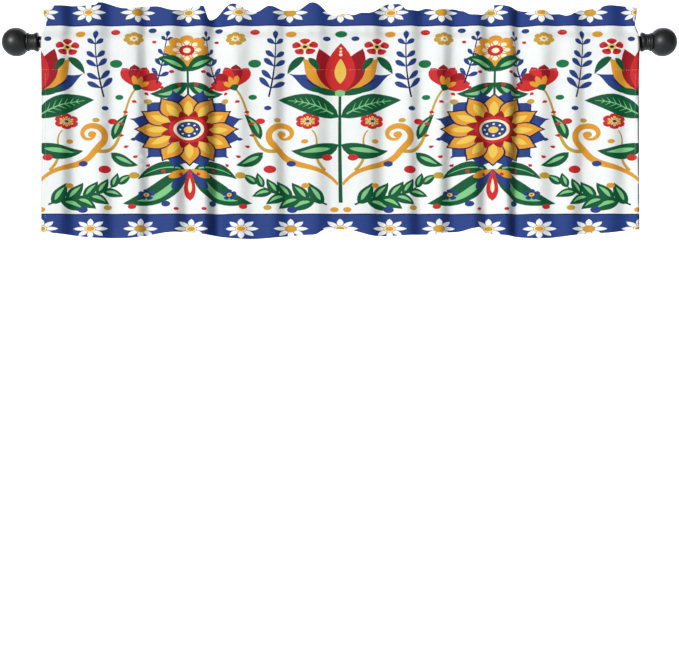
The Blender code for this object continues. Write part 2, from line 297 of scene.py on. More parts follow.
def stroke(ink, path, width, axis=False, step=5):
    """A drawn line, laid down in short lengths so that it may cross itself."""
    n = len(path) - 1
    for i in range(0, n, step):
        j = min(i + step, n)
        draw(ink, ribbon(path, width, i, j), axis)


def anticlockwise(points):
    area = sum(a[0] * b[1] - b[0] * a[1] for a, b in zip(points, points[1:] + points[:1]))
    return points if area > 0 else points[::-1]


def turned(cx, cy, angle, a, b, stretch=1.0):
    """A point a along and b across a direction given from straight up."""
    s, c = math.sin(angle), math.cos(angle)
    return (cx + (a * s + b * c) * stretch, cy + a * c - b * s)


def ellipse(cx, cy, rx, ry, n=0):
    n = n or max(11, min(32, int(4 + (rx + ry) * 0.8)))
    return [(cx + rx * math.cos(2 * math.pi * i / n), cy + ry * math.sin(2 * math.pi * i / n))
            for i in range(n)]


def drop(cx, cy, angle, length, width, stretch=1.0, start=0.0, n=0):
    """Teardrop: pointed at its start, round at the far end."""
    left, right = [], []
    n = n or max(5, min(9, round(length / 3.2)))
    for i in range(1, n + 1):
        t = i / n
        half = width / 2 * math.sin(math.pi * t ** 1.55) ** 0.62 if t < 1 else 0.0
        left.append(turned(cx, cy, angle, start + length * t, half, stretch))
        right.append(turned(cx, cy, angle, start + length * t, -half, stretch))
    tip = right.pop()
    left.pop()
    return [turned(cx, cy, angle, start, 0, stretch)] + left + [tip] + right[::-1]


def petal(cx, cy, angle, start, end, width, stretch=STRETCH, n=0, belly=0.9, tip=0.0):
    """Pointed oval from start to end along a direction from the centre.

    A larger tip draws its end out to a finer point."""
    left, right = [], []
    n = n or max(5, min(10, round(abs(end - start) / 6)))
    for i in range(1, n):
        t = i / n
        half = width / 2 * math.sin(math.pi * t ** belly) ** (0.85 + tip * t)
        left.append(turned(cx, cy, angle, start + (end - start) * t, half, stretch))
        right.append(turned(cx, cy, angle, start + (end - start) * t, -half, stretch))
    return ([turned(cx, cy, angle, start, 0, stretch)] + left
            + [turned(cx, cy, angle, end, 0, stretch)] + right[::-1])


def bezier(p0, p1, p2, p3, n):
    out = []
    for i in range(n + 1):
        t = i / n
        k = 1 - t
        out.append(tuple(k ** 3 * a + 3 * k * k * t * b + 3 * k * t * t * c + t ** 3 * d
                         for a, b, c, d in zip(p0, p1, p2, p3)))
    return out


def ribbon(path, width, first=0, last=None):
    """Outline of part of a stroke along a path; width is a function of 0..1."""
    left, right = [], []
    n = len(path) - 1
    for i in range(first, (n if last is None else last) + 1):
        x, y = path[i]
        ax, ay = path[max(i - 1, 0)]
        bx, by = path[min(i + 1, n)]
        size = math.hypot(bx - ax, by - ay) or 1.0
        nx, ny = -(by - ay) / size, (bx - ax) / size
        w = max(width(i / n), 0.25) / 2
        left.append((x + nx * w, y + ny * w))
        right.append((x - nx * w, y - ny * w))
    return left + right[::-1]


def leaf(ink, base, tip, width, bend, axis=False, inner=None, vein=None, ribs=0, n=11):
    """A bent leaf with a paler streak along one side, a vein and side ribs."""
    dx, dy = tip[0] - base[0], tip[1] - base[1]
    mid = ((base[0] + tip[0]) / 2 - dy * bend, (base[1] + tip[1]) / 2 + dx * bend)

    def rib(t):
        k = 1 - t
        return (k * k * base[0] + 2 * k * t * mid[0] + t * t * tip[0],
                k * k * base[1] + 2 * k * t * mid[1] + t * t * tip[1])

    def blade(t0, t1, scale, shift=0.0):
        left, right = [], []
        for i in range(n + 1):
            t = t0 + (t1 - t0) * i / n
            x, y = rib(t)
            ax, ay = rib(max(t - 0.02, 0))
            bx, by = rib(min(t + 0.02, 1))
            size = math.hypot(bx - ax, by - ay)
            nx, ny = -(by - ay) / size, (bx - ax) / size
            s = i / n
            half = scale * width / 2 * math.sin(math.pi * s ** 0.78) ** 0.9 if 0 < i < n else 0.0
            off = shift * math.sin(math.pi * s) * width / 2
            left.append((x + nx * (half + off), y + ny * (half + off)))
            right.append((x + nx * (off - half), y + ny * (off - half)))
        return left + right[1:-1][::-1]

    draw(ink, blade(0.0, 1.0, 1.0), axis)
    if inner:
        draw(inner, blade(0.18, 0.82, 0.31, 0.22), axis)
    if vein:
        path = [rib(0.1 + 0.74 * i / 10) for i in range(11)]
        stroke(vein, path, lambda t: 2.2 * (1 - t) + 0.9, axis)
    for k in range(ribs):
        t = 0.2 + 0.5 * k / max(ribs - 1, 1)
        x, y = rib(t)
        ax, ay = rib(t + 0.03)
        heading = math.atan2(ay - y, ax - x)
        reach = width * 0.42 * math.sin(math.pi * (t + 0.12) ** 0.78)
        for side in (-1, 1):
            a = heading + side * 0.72
            end = (x + reach * math.cos(a), y + reach * math.sin(a))
            draw(vein, ribbon([(x, y), end], lambda w: 1.9 - 1.3 * w), axis)


def sprig(base, tip, bend, pairs, length, width, ink, stem):
    """A stem with teardrops in pairs up its sides and one at its tip."""
    dx, dy = tip[0] - base[0], tip[1] - base[1]
    mid = ((base[0] + tip[0]) / 2 - dy * bend, (base[1] + tip[1]) / 2 + dx * bend)
    path = []
    for i in range(15):
        t = i / 14
        k = 1 - t
        path.append((k * k * base[0] + 2 * k * t * mid[0] + t * t * tip[0],
                     k * k * base[1] + 2 * k * t * mid[1] + t * t * tip[1]))
    for j in range(pairs):
        t = 0.16 + 0.72 * j / max(pairs - 1, 1)
        i = int(t * 14)
        x, y = path[i]
        ax, ay = path[i + 1]
        heading = math.atan2(ax - x, ay - y)
        size = 1 - 0.38 * j / max(pairs - 1, 1)
        for side in (-1, 1):
            draw(ink, drop(x, y, heading + side * 0.95, length * size, width * (0.75 + 0.25 * size)))
    x, y = path[-1]
    ax, ay = path[-2]
    draw(ink, drop(ax, ay, math.atan2(x - ax, y - ay), length * 0.66, width))
    stroke(stem, path, lambda t: 3.4 - 1.6 * t)


def branch(base, c1, c2, tip, count, length, width):
    """A leafy branch: leaves in turn above and below a bent stem."""
    path = bezier(base, c1, c2, tip, 24)
    for j in range(count):
        t = 0.08 + 0.84 * j / (count - 1)
        i = min(int(t * 24), 23)
        x, y = path[i]
        heading = math.atan2(path[i + 1][1] - y, path[i + 1][0] - x)
        side = 1 if j % 2 == 0 else -1
        size = 1 - 0.4 * t
        a = heading + side * 0.72
        end = (x + length * size * math.cos(a) * 1.15, y + length * size * math.sin(a) * 0.9)
        leaf("dark_green", (x, y), end, width * size, -0.12 * side, inner="light_green", n=9)
    x, y = path[-1]
    a = math.atan2(y - path[-3][1], x - path[-3][0])
    leaf("dark_green", (x, y), (x + length * 0.6 * math.cos(a), y + length * 0.6 * math.sin(a)),
         width * 0.62, 0.0, inner="light_green", n=9)
    stroke("dark_green", path, lambda t: 3.6 - 1.8 * t)


def blossom(cx, cy, rx, petals, ink, shade, eye, heart, axis=False):
    """Small round-petalled flower."""
    ry = rx / STRETCH
    for k in range(petals):
        a = 2 * math.pi * k / petals
        draw(ink, drop(cx, cy, a, ry * 0.78, ry * min(0.78, 4.7 / petals), STRETCH,
                       start=ry * 0.22, n=8), axis)
    for k in range(petals):
        a = 2 * math.pi * k / petals
        draw(shade, drop(cx, cy, a, ry * 0.34, ry * 0.26, STRETCH, start=ry * 0.3, n=4), axis)
    draw(eye, ellipse(cx, cy, rx * 0.34, ry * 0.34), axis)
    draw(heart, ellipse(cx, cy, rx * 0.17, ry * 0.17, 9), axis)


def spiral(cx, cy, r0, r1, a0, turns, n=34):
    out = []
    for i in range(n + 1):
        t = i / n
        r = r0 * (r1 / r0) ** t
        a = a0 + 2 * math.pi * turns * t
        out.append((cx + r * 1.25 * math.cos(a), cy + r * math.sin(a)))
    return out


def great_bloom(cx, cy, ry):
    """Large layered bloom: blue and gold pointed petals round a red heart."""
    count = 12
    for k in range(24):
        a = 2 * math.pi * (k + 0.5) / 24
        draw("red", drop(cx, cy, a, 7.5, 5.8, STRETCH, start=ry * 1.16, n=6), True)
    for k in range(count):
        a = 2 * math.pi * (k + 0.5) / count
        draw("blue", petal(cx, cy, a, ry * 0.2, ry * 1.1, ry * 0.5, n=10, belly=1.3, tip=1.5), True)
    for k in range(count):
        a = 2 * math.pi * k / count
        draw("navy", petal(cx, cy, a, ry * 0.18, ry * 0.99, ry * 0.44, n=10, belly=1.2, tip=0.5), True)
        draw("orange", petal(cx, cy, a, ry * 0.2, ry * 0.94, ry * 0.375, n=10, belly=1.2, tip=0.5), True)
    for k in range(count):
        a = 2 * math.pi * k / count
        draw("yellow", petal(cx, cy, a, ry * 0.34, ry * 0.78, ry * 0.16, belly=1.1), True)
    for k in range(count):
        a = 2 * math.pi * (k + 0.5) / count
        draw("dark_red", petal(cx, cy, a, ry * 0.16, ry * 0.52, ry * 0.2), True)
    draw("red", ellipse(cx, cy, ry * 0.36 * STRETCH, ry * 0.36, 34), True)
    draw("cream", ellipse(cx, cy, ry * 0.28 * STRETCH, ry * 0.28, 28), True)
    draw("blue", ellipse(cx, cy, ry * 0.225 * STRETCH, ry * 0.225, 24), True)
    for k in range(8):
        a = 2 * math.pi * k / 8
        x, y = turned(cx, cy, a, ry * 0.155, 0, STRETCH)
        draw("cream", ellipse(x, y, 2.6, 1.9, 7), True)
    draw("yellow", ellipse(cx, cy, ry * 0.09 * STRETCH, ry * 0.09, 14), True)


def tulip(cx, base, tall):
    """Five-petalled tulip, opening upwards, on its axis."""
    rows = [("blue", 1.02, 0.80, 0.34), ("navy", 1.02, 0.56, 0.10),
            ("orange", 0.60, 0.93, 0.36), ("yellow", 0.60, 0.62, 0.12)]
    for ink, angle, reach, wide in rows:
        for side in (-1, 1):
            draw(ink, petal(cx, base, side * angle, 2 if wide > 0.2 else 16, tall * reach, tall * wide,
                            n=11, belly=0.85, tip=0.9), True)
    draw("dark_red", petal(cx, base, 0.3, 2, tall * 0.96, tall * 0.36, belly=0.8), True)
    draw("dark_red", petal(cx, base, -0.3, 2, tall * 0.96, tall * 0.36, belly=0.8), True)
    draw("red", petal(cx, base, 0.0, 0, tall * 1.04, tall * 0.4, belly=0.8), True)
    draw("yellow", petal(cx, base, 0.0, tall * 0.2, tall * 0.72, tall * 0.15, belly=0.9), True)
    for j, size in enumerate((3.4, 2.8, 2.2)):
        draw("cream", ellipse(cx, base + tall * (0.80 + 0.065 * j), size, size * 0.8, 10), True)
    for side in (-1, 1):
        draw("dark_green", petal(cx, base - 3, side * 1.25, 0, tall * 0.44, tall * 0.14), True)
    draw("light_green", ellipse(cx, base, 9.5, 6.5, 16), True)


def carnation(cx, cy, heading, tall):
    """Fan-shaped bloom at the end of a stem."""
    for j, a in enumerate((-0.95, -0.48, 0.0, 0.48, 0.95)):
        draw("red" if j % 2 == 0 else "dark_red",
             drop(cx, cy, heading + a, tall, tall * 0.48, 1.15, n=9))
    for a in (-0.62, 0.0, 0.62):
        draw("orange", drop(cx, cy, heading + a, tall * 0.55, tall * 0.2, 1.15, n=7))
    draw("dark_green", drop(cx, cy, heading, tall * 0.3, tall * 0.34, 1.2,
                            start=-tall * 0.14, n=7))


def half_cell():
    """Everything between a tulip's axis (p = 0) and a great bloom's (p = 300)."""
    # stems first, flowers over them
    stroke("dark_green", bezier((0, -322), (0, -260), (0, -170), (0, -104), 8),
           lambda t: 7.5 - 2.5 * t, True)
    stroke("dark_green", bezier((300, -112), (300, -90), (300, -60), (300, -36), 4),
           lambda t: 5.0 - 1.2 * t, True)
    # golden scroll that rises from the tulip's foot and curls by the bloom
    rise = bezier((4, -286), (40, -236), (92, -262), (118, -214), 22)
    curl = spiral(106, -186, 27, 7, -0.95, 1.15, 30)
    stroke("orange", rise[:-1] + curl, lambda t: 5.0 + 7.5 * math.sin(math.pi * min(t * 1.15, 1.0)))
    draw("orange", ellipse(106 + 4, -186, 8.5, 6.4))
    up = bezier((116, -218), (176, -236), (160, -140), (196, -96), 24)
    stroke("gold", up, lambda t: 7.5 - 4.0 * t)
    out = bezier((28, -258), (62, -226), (30, -200), (52, -178), 16)
    stroke("gold", out, lambda t: 6.0 - 3.6 * t)
    carnation(198, -94, 0.42, 46)
    blossom(60, -160, 24, 6, "red", "yellow", "yellow", "blue")

    # leaves on the tulip's stem
    leaf("dark_green", (2, -152), (116, -118), 40, 0.17, vein="light_green", ribs=6, n=12)
    leaf("dark_green", (2, -206), (92, -218), 30, -0.2, inner="light_green")
    leaf("dark_green", (150, -196), (180, -146), 20, 0.14, inner="light_green", n=8)
    leaf("dark_green", (146, -222), (198, -248), 22, -0.16, inner="light_green", n=9)

    # leafy branch along the bottom, and big blades under the bloom
    branch((26, -326), (70, -306), (110, -318), (158, -284), 9, 54, 26)
    leaf("dark_green", (296, -254), (168, -324), 42, 0.2, inner="light_green", n=14)
    leaf("dark_green", (292, -256), (196, -276), 25, -0.26, vein="light_green")
    for a, reach, ink in ((0.0, 64, "red"), (0.62, 50, "blue"), (-0.62, 50, "blue"),
                          (1.08, 38, "orange"), (-1.08, 38, "orange")):
        draw(ink, drop(300, -254, math.pi + a, reach, 19 if a == 0 else 14, 1.25, n=10), True)
    draw("cream", drop(300, -272, math.pi, 30, 6.5, 1.2, n=8), True)

    # blue sprigs
    sprig((134, -112), (122, 8), 0.07, 5, 31, 10.5, "blue", "navy")
    sprig((238, -84), (262, 12), -0.05, 4, 22, 8.5, "blue", "navy")
    leaf("dark_green", (300, -82), (224, -104), 26, 0.22, inner="light_green", n=9)

    # flowers
    tulip(0, -104, 94)
    great_bloom(300, -176, 74)
    blossom(300, -20, 46, 8, "orange", "cream", "red", "cream", True)
    leaf("dark_green", (300, -60), (240, -36), 24, -0.2, inner="light_green", n=9)
    blossom(66, -14, 25, 5, "red", "dark_red", "yellow", "navy")
    blossom(196, 2, 21, 7, "gold", "orange", "cream", "orange")
    blossom(214, -306, 17, 5, "blue", "navy", "yellow", "red")
    leaf("dark_green", (66, -34), (98, -66), 15, 0.2, n=8)
    leaf("dark_green", (60, -36), (40, -62), 12, -0.2, n=8)

    # berries and dots
    Dot = namedtuple("Dot", "p q ink size")
    dots = [
        Dot(0, 12, "green", 11), Dot(26, 2, "blue", 7.5), Dot(136, -134, "blue", 7),
        Dot(160, -46, "green", 12), Dot(92, 12, "orange", 10), Dot(160, 16, "red", 9),
        Dot(232, 20, "blue", 8), Dot(24, -232, "red", 10), Dot(92, -244, "blue", 9),
        Dot(66, -200, "orange", 7), Dot(150, -160, "red", 9), Dot(134, -256, "red", 12),
        Dot(190, -268, "gold", 10), Dot(186, -330, "red", 8), Dot(252, -324, "blue", 9),
        Dot(272, -334, "red", 5), Dot(12, -336, "orange", 8), Dot(92, -336, "blue", 10),
        Dot(140, -332, "gold", 8), Dot(190, -196, "blue", 5), Dot(164, -112, "green", 8),
        Dot(220, -120, "gold", 8), Dot(268, -62, "red", 5),
        Dot(118, -158, "gold", 7), Dot(236, -4, "red", 4.5), Dot(66, -288, "orange", 8),
    ]
    for dot in dots:
        draw(dot.ink, ellipse(dot.p, dot.q, dot.size, dot.size / 1.55), dot.p == 0)


def daisies():
    """White daisies with golden hearts, evenly spaced along the hanging cloth."""
    made = []
    span = FOLDS[-1].x - FOLDS[0].x
    for k in range(-6, 7):
        u = np.interp(k * DAISY_PITCH + 1.0, ARC_X, ARC_U)
        cx, cy = FOLDS[0].x + u * span / FLAT_WIDTH, BAND_LOW + 27.0
        for j in range(8):
            a = 2 * math.pi * j / 8
            made.append(("cream_white", petal(cx, cy, a, 3.0, 20.0, 7.5, 1.70, n=6, belly=1.05)))
        made.append(("outer_ring", ellipse(cx, cy, 12.0, 7.2, 16)))
        if k % 3 == 2:
            made.append(("gold_heart", ellipse(cx, cy, 6.2, 3.9, 14)))
            continue
        made.append(("cream_ring", ellipse(cx, cy, 10.6, 6.3, 14)))
        made.append(("gold_heart" if k % 3 else "brown_heart", ellipse(cx, cy, 8.2, 4.7, 14)))
    return made


def flat_u(p):
    """Flat width of a point drawn at p along the rod."""
    return FLAT_WIDTH * (p - FOLDS[0].x) / (FOLDS[-1].x - FOLDS[0].x)


def lay_out_print(v_low, v_high):
    """All areas of colour on the flat cloth, the lowest first."""
    half_cell()
    shapes = []

    def add(ink, points):
        us = [flat_u(p) for p, _ in points]
        qs = [q for _, q in points]
        if max(us) < -SIDE_HEM or min(us) > FLAT_WIDTH + SIDE_HEM:
            return
        for shift in (-REPEAT, 0.0, REPEAT):
            if max(qs) + shift > v_low and min(qs) + shift < v_high:
                shapes.append((ink, anticlockwise([(u, q + shift) for u, q in zip(us, qs)])))

    wider = CELL / 600.0
    for ink, points, axis in ART:
        points = [(p * wider, q) for p, q in points]
        for centre in (-CELL, 0.0, CELL):
            if axis:
                add(ink, [(centre + p, q) for p, q in points])
            else:
                add(ink, [(centre + p, q) for p, q in points])
                add(ink, [(centre - p, q) for p, q in points])

    # the blue band, a navy line along each of its edges, and its daisies
    steps = [FOLDS[0].x - 14 + i * (FOLDS[-1].x - FOLDS[0].x + 28) / 240 for i in range(241)]

    def strip(low, high):
        return [(p, low) for p in steps] + [(p, high) for p in reversed(steps)]

    add(INK["navy"], strip(BAND_LOW, BAND_LOW + BAND_TALL))
    add(INK["blue"], strip(BAND_LOW + 2.2, BAND_LOW + BAND_TALL - 2.2))
    names = {"cream_white": "ground", "brown_heart": "gold", "outer_ring": "gold", "cream_ring": "cream",
             "gold_heart": "orange"}
    for name, points in daisies():
        add(INK[names[name]], points)
    return shapes


# ================================================================ the sheet
def sheet_rows(u):
    """Heights of the sheet's rows at each column, bottom hem edge first."""
    x = np.interp(np.clip(u, 0, FLAT_WIDTH), ARC_U, ARC_X)
    top, hem = eased(TOP, "z", x), eased(HEM, "z", x)
    rows, tight = [], []

    def row(v, is_tight=False):
        rows.append(v)
        tight.append(is_tight)

    for d in (-HEM_DEPTH, -HEM_STITCH, -12.0, -4.0):
        row(hem + d)
    for d in (-1.2, -0.6, -0.2, 0.2, 0.6, 1.2):
        row(hem + d, True)
    for d in (5.0, 12.5, HEM_STITCH - 1.7, HEM_STITCH, HEM_STITCH + 1.7, HEM_DEPTH, 28.0, 38.0):
        row(hem + d)
    low, high = hem + 38.0, LOW_SEAM_Z - 14.0
    for i in range(1, 15):
        row(low + (high - low) * i / 15)
    for v in (-72.0, -66.0, -61.5, -59.6, -58.0, -56.4, -54.0, -48.0, -41.0, -34.0, -27.0,
              -20.0, -14.0, -8.5, -3.5, 1.0, 4.6, 7.6, 10.0, 12.4, 14.4, 15.8, 17.0,
              18.2, 20.0, 23.0, 27.0):
        row(np.full_like(u, v))
    for f in (0.25, 0.5, 0.75):
        row(27.0 + (top - 4.0 - 27.0) * f)
    row(top - 4.0)
    for d in (-1.4, -0.75, -0.25, 0.25, 0.75, 1.4):
        row(top + d, True)
    row(top + 4.0)
    seam = 2 * top - TOP_SEAM_Z
    for f in (0.25, 0.5, 0.75):
        row(top + 4.0 + (seam - 5.0 - top - 4.0) * f)
    for d in (-5.0, -2.0, 0.0, 1.8, 5.0, 10.0, 15.5, 21.5, 28.0, 35.0, 43.0, 53.0,
              64.0, 76.0, 87.0, 95.0, 98.5, BACK_RUN[-1]):
        row(seam + d)
    return np.array(rows), np.array(tight)


def lay_out_sheet():
    """Flat triangles of the sheet: points (u, v), faces, and the ink of each."""
    u_main = np.linspace(0, FLAT_WIDTH, int(round(FLAT_WIDTH / COLUMN_STEP)) + 1)
    # a column more in each step where the top edge is steep
    rise = np.abs(np.diff(eased(TOP, "z", np.interp(u_main, ARC_U, ARC_X))))
    steep = np.where(rise > 0.8 * COLUMN_STEP)[0]
    u_main = np.sort(np.concatenate([u_main, (u_main[steep] + u_main[steep + 1]) / 2]))
    count = len(u_main) - 1
    rows, tight = sheet_rows(u_main)
    n_rows = len(rows)

    points, index = [], {}

    def point(u, v):
        key = (round(u, 3), round(v, 3))
        if key not in index:
            index[key] = len(points)
            points.append((u, v))
        return index[key]

    grid = [[point(u_main[i], rows[j][i]) for i in range(count + 1)] for j in range(n_rows)]

    # strips for the side hems, from above the bottom hem to the low seam
    first = int(np.argmax(rows[:, 0] > rows[0, 0] + HEM_DEPTH + 26.9))
    last = int(np.argmax(rows[:, 0] >= LOW_SEAM_Z - 5)) - 1
    outs = {}
    for side, i, sign in (("left", 0, -1), ("right", count, 1)):
        for d in (0.35, 0.7, 1.3, 4.0, SIDE_STITCH, SIDE_HEM):
            outs[side, d] = [point(u_main[i] + sign * d, rows[j][i]) for j in range(first, last + 1)]

    boundary = list(grid[0])                                   # along the bottom
    boundary += [grid[j][count] for j in range(1, first + 1)]
    for d in (0.35, 0.7, 1.3, 4.0, SIDE_STITCH):
        boundary.append(outs["right", d][0])
    boundary += outs["right", SIDE_HEM]
    for d in (SIDE_STITCH, 4.0, 1.3, 0.7, 0.35):
        boundary.append(outs["right", d][-1])
    boundary += [grid[j][count] for j in range(last, n_rows)]
    boundary += list(reversed(grid[-1][:-1]))
    boundary += [grid[j][0] for j in range(n_rows - 2, last - 1, -1)]
    for d in (0.35, 0.7, 1.3, 4.0, SIDE_STITCH):
        boundary.append(outs["left", d][-1])
    boundary += list(reversed(outs["left", SIDE_HEM]))
    for d in (SIDE_STITCH, 4.0, 1.3, 0.7, 0.35):
        boundary.append(outs["left", d][0])
    boundary += [grid[j][0] for j in range(first, 0, -1)]

    edges = []
    for j in range(n_rows):
        if tight[j]:
            edges += list(zip(grid[j][:-1], grid[j][1:]))
    for (side, d), ids in outs.items():
        if d < 2:
            edges += list(zip(ids[:-1], ids[1:]))
    for i in (0, count):
        ids = [grid[j][i] for j in range(first, last + 1)]
        edges += list(zip(ids[:-1], ids[1:]))

    shapes = lay_out_print(rows.min(), rows.max())
    faces, inks = [boundary], [0]
    outline = []
    for ink, pts in shapes:
        base = len(points)
        points.extend(pts)
        outline.extend(pts)
        faces.append(list(range(base, base + len(pts))))
        inks.append(ink)

    # drop the grid points that sit right beside an outline
    tree = kdtree.KDTree(len(outline))
    for k, (u, v) in enumerate(outline):
        tree.insert((u, v, 0.0), k)
    tree.balance()
    keep_ids = set(boundary) | {i for e in edges for i in e}
    n_grid = len(points) - len(outline)
    used = set()
    for k in range(n_grid):
        if k in keep_ids or not tree.find_range((points[k][0], points[k][1], 0.0), 2.1):
            used.add(k)
    remap, verts = {}, []
    for k, (u, v) in enumerate(points):
        if k >= n_grid or k in used:
            remap[k] = len(verts)
            verts.append(Vector((u, v)))
    edges = [(remap[a], remap[b]) for a, b in edges]
    faces = [[remap[k] for k in f] for f in faces]

    v2, _, f2, _, _, from_faces = delaunay_2d_cdt(verts, edges, faces, 0, 0.004, True)
    uv = np.array([(p.x, p.y) for p in v2])
    tris, tri_ink = [], []
    for corners, sources in zip(f2, from_faces):
        if 0 not in sources:
            continue
        a, b, c = corners
        area = ((uv[b, 0] - uv[a, 0]) * (uv[c, 1] - uv[a, 1])
                - (uv[c, 0] - uv[a, 0]) * (uv[b, 1] - uv[a, 1]))
        tris.append((a, b, c) if area > 0 else (a, c, b))
        tri_ink.append(inks[max(sources)])
    tris = np.array(tris)
    used_ids = np.unique(tris)
    new = np.full(len(uv), -1)
    new[used_ids] = np.arange(len(used_ids))
    return uv[used_ids], new[tris], np.array(tri_ink)


def new_mesh_object(name, verts, faces):
    mesh = bpy.data.meshes.new(name)
    mesh.from_pydata([tuple(v) for v in verts], [], [tuple(int(i) for i in f) for f in faces])
    obj = bpy.data.objects.new(name, mesh)
    bpy.context.scene.collection.objects.link(obj)
    return obj


def build_valance(inks_front, inks_back):
    """Closed sheet: printed side, wrong side and a rim."""
    uv, tris, ink = lay_out_sheet()
    u, v = uv[:, 0], uv[:, 1]
    centre, normal = folded(u, v), outward(u, v)
    printed = centre + normal * SHEET / 2
    wrong = centre - normal * SHEET / 2
    n = len(uv)

    directed = {}
    for a, b, c in tris:
        for e in ((a, b), (b, c), (c, a)):
            directed[e] = True
    rim = [(b, a, a + n, b + n) for a, b in directed if (b, a) not in directed]

    verts = np.concatenate([printed, wrong]) * MM
    faces = [tuple(t) for t in tris] + [(c + n, b + n, a + n) for a, b, c in tris] + rim
    obj = new_mesh_object("valance_sheet", verts, faces)
    mesh = obj.data
    for material in inks_front + inks_back:
        mesh.materials.append(material)
    slots = np.concatenate([ink, ink + len(INKS), np.zeros(len(rim), int)])
    mesh.polygons.foreach_set("material_index", slots.astype(np.int32))

    # flat coordinates in metres for the weave, and a fitted map for colour
    loops = np.zeros(len(mesh.loops), np.int32)
    mesh.loops.foreach_get("vertex_index", loops)
    flat = np.stack([u, v], axis=1)[loops % n]
    weave = mesh.uv_layers.new(name="Flat")
    weave.data.foreach_set("uv", (flat * MM).ravel())
    wide = FLAT_WIDTH + 2 * SIDE_HEM
    fitted = np.stack([(flat[:, 0] + SIDE_HEM) / wide, (flat[:, 1] - v.min()) / wide], axis=1)
    fitted *= 0.996
    fitted += 0.002
    fitted[:, 1] += np.where(loops >= n, 0.5, 0.0)
    bake = mesh.uv_layers.new(name="OFBake")
    bake.data.foreach_set("uv", fitted.ravel())
    mesh.uv_layers.active = weave

    mesh.shade_smooth()
    normals = np.concatenate([normal, -normal])
    mesh.normals_split_custom_set_from_vertices([tuple(x) for x in normals])
    mesh.update()
    return obj


# ================================================================ stitches
def stitch_line(us, vs, length=2.8, thick=0.28, sides=5):
    """Short thread stitches that follow a line on the printed side."""
    path = folded(us, vs)
    run = np.concatenate([[0.0], np.cumsum(np.linalg.norm(np.diff(path, axis=0), axis=1))])
    pitch = length + 0.9
    starts = np.arange(int(run[-1] / pitch)) * pitch + 0.45
    stations = np.array([0.0, 0.5, length - 0.5, length])
    radius = np.array([0.25, 1.0, 1.0, 0.25])
    lift = np.array([-0.25, 0.04, 0.04, -0.25])
    s = (starts[:, None] + stations).ravel()
    cu, cv = np.interp(s, run, us), np.interp(s, run, vs)
    normal = outward(cu, cv)
    middle = folded(cu, cv) + normal * (SHEET / 2 + np.tile(lift, len(starts)) * thick)[:, None]
    ahead = (folded(np.interp(s + 0.4, run, us), np.interp(s + 0.4, run, vs))
             - folded(np.interp(s - 0.4, run, us), np.interp(s - 0.4, run, vs)))
    ahead /= np.linalg.norm(ahead, axis=1, keepdims=True)
    across = np.cross(ahead, normal)
    r = np.tile(radius, len(starts)) * thick / 2
    verts = []
    for j in range(sides):
        a = 2 * math.pi * j / sides
        verts.append(middle + (across * math.cos(a) + normal * math.sin(a)) * r[:, None])
    verts = np.stack(verts, axis=1).reshape(-1, 3)
    faces = []
    for k in range(len(starts)):
        base = k * 4 * sides
        for ring in range(3):
            for j in range(sides):
                p, q = base + ring * sides + j, base + ring * sides + (j + 1) % sides
                faces.append((p, q, q + sides, p + sides))
        faces.append(tuple(base + j for j in reversed(range(sides))))
        faces.append(tuple(base + 3 * sides + j for j in range(sides)))
    return verts, faces


def build_stitches(name, lines, material):
    verts, faces = [], []
    for us, vs in lines:
        lv, lf = stitch_line(us, vs)
        base = sum(len(part) for part in verts)
        verts.append(lv)
        faces += [tuple(i + base for i in f) for f in lf]
    obj = new_mesh_object(name, np.concatenate(verts) * MM, faces)
    obj.data.materials.append(material)
    obj.data.shade_smooth()
    return obj


# ================================================================ turned metal
def lathe(name, profile, steps, material, place, sign):
    """Turned piece along X from (reach, radius) points, ball or end first."""
    verts, faces = [], []
    rings = []
    for reach, radius in profile:
        x = place + sign * reach
        if radius < 1e-6:
            rings.append([len(verts)])
            verts.append((x, 0.0, 0.0))
            continue
        ids = []
        for k in range(steps):
            a = 2 * math.pi * k / steps
            ids.append(len(verts))
            verts.append((x, radius * math.cos(a) * sign, radius * math.sin(a)))
        rings.append(ids)
    for ra, rb in zip(rings, rings[1:]):
        for k in range(steps):
            k2 = (k + 1) % steps
            if len(ra) == 1:
                faces.append((ra[0], rb[k], rb[k2]))
            elif len(rb) == 1:
                faces.append((ra[k], rb[0], ra[k2]))
            else:
                faces.append((ra[k], rb[k], rb[k2], ra[k2]))
    obj = new_mesh_object(name, np.array(verts) * MM, faces)
    obj.data.materials.append(material)
    obj.data.shade_smooth()
    obj.data.set_sharp_from_angle(angle=math.radians(38))
    return obj


Turn = namedtuple("Turn", "reach radius")
NECK = [                       # from the ball's groove to the face on the rod
    Turn(25.3, 15.6), Turn(24.8, 15.2), Turn(24.3, 15.8), Turn(23.6, 17.2), Turn(22.6, 18.2),
    Turn(21.4, 18.7), Turn(20.4, 18.75), Turn(19.7, 18.4), Turn(19.1, 17.6), Turn(18.8, 16.8),
    Turn(18.4, 16.1), Turn(17.8, 16.1), Turn(17.2, 16.65), Turn(16.5, 16.85), Turn(15.8, 16.65),
    Turn(15.1, 16.0), Turn(14.5, 15.85), Turn(13.9, 16.1), Turn(13.2, 16.7), Turn(12.5, 16.85),
    Turn(11.8, 16.5), Turn(11.2, 16.05), Turn(10.5, 16.2), Turn(9.6, 16.7), Turn(8.4, 17.2),
    Turn(7.2, 17.7), Turn(6.2, 18.6), Turn(5.4, 19.05), Turn(4.4, 19.25), Turn(3.0, 19.3),
    Turn(1.8, 19.05), Turn(0.9, 18.5), Turn(0.3, 17.8), Turn(0.0, 17.2),
]
BALL_RADIUS = 28.6
BALL_CENTRE = 45.0
BALL_CUT = 20.5
STUD_RADIUS = 4.0
STUD_LENGTH = 18.0


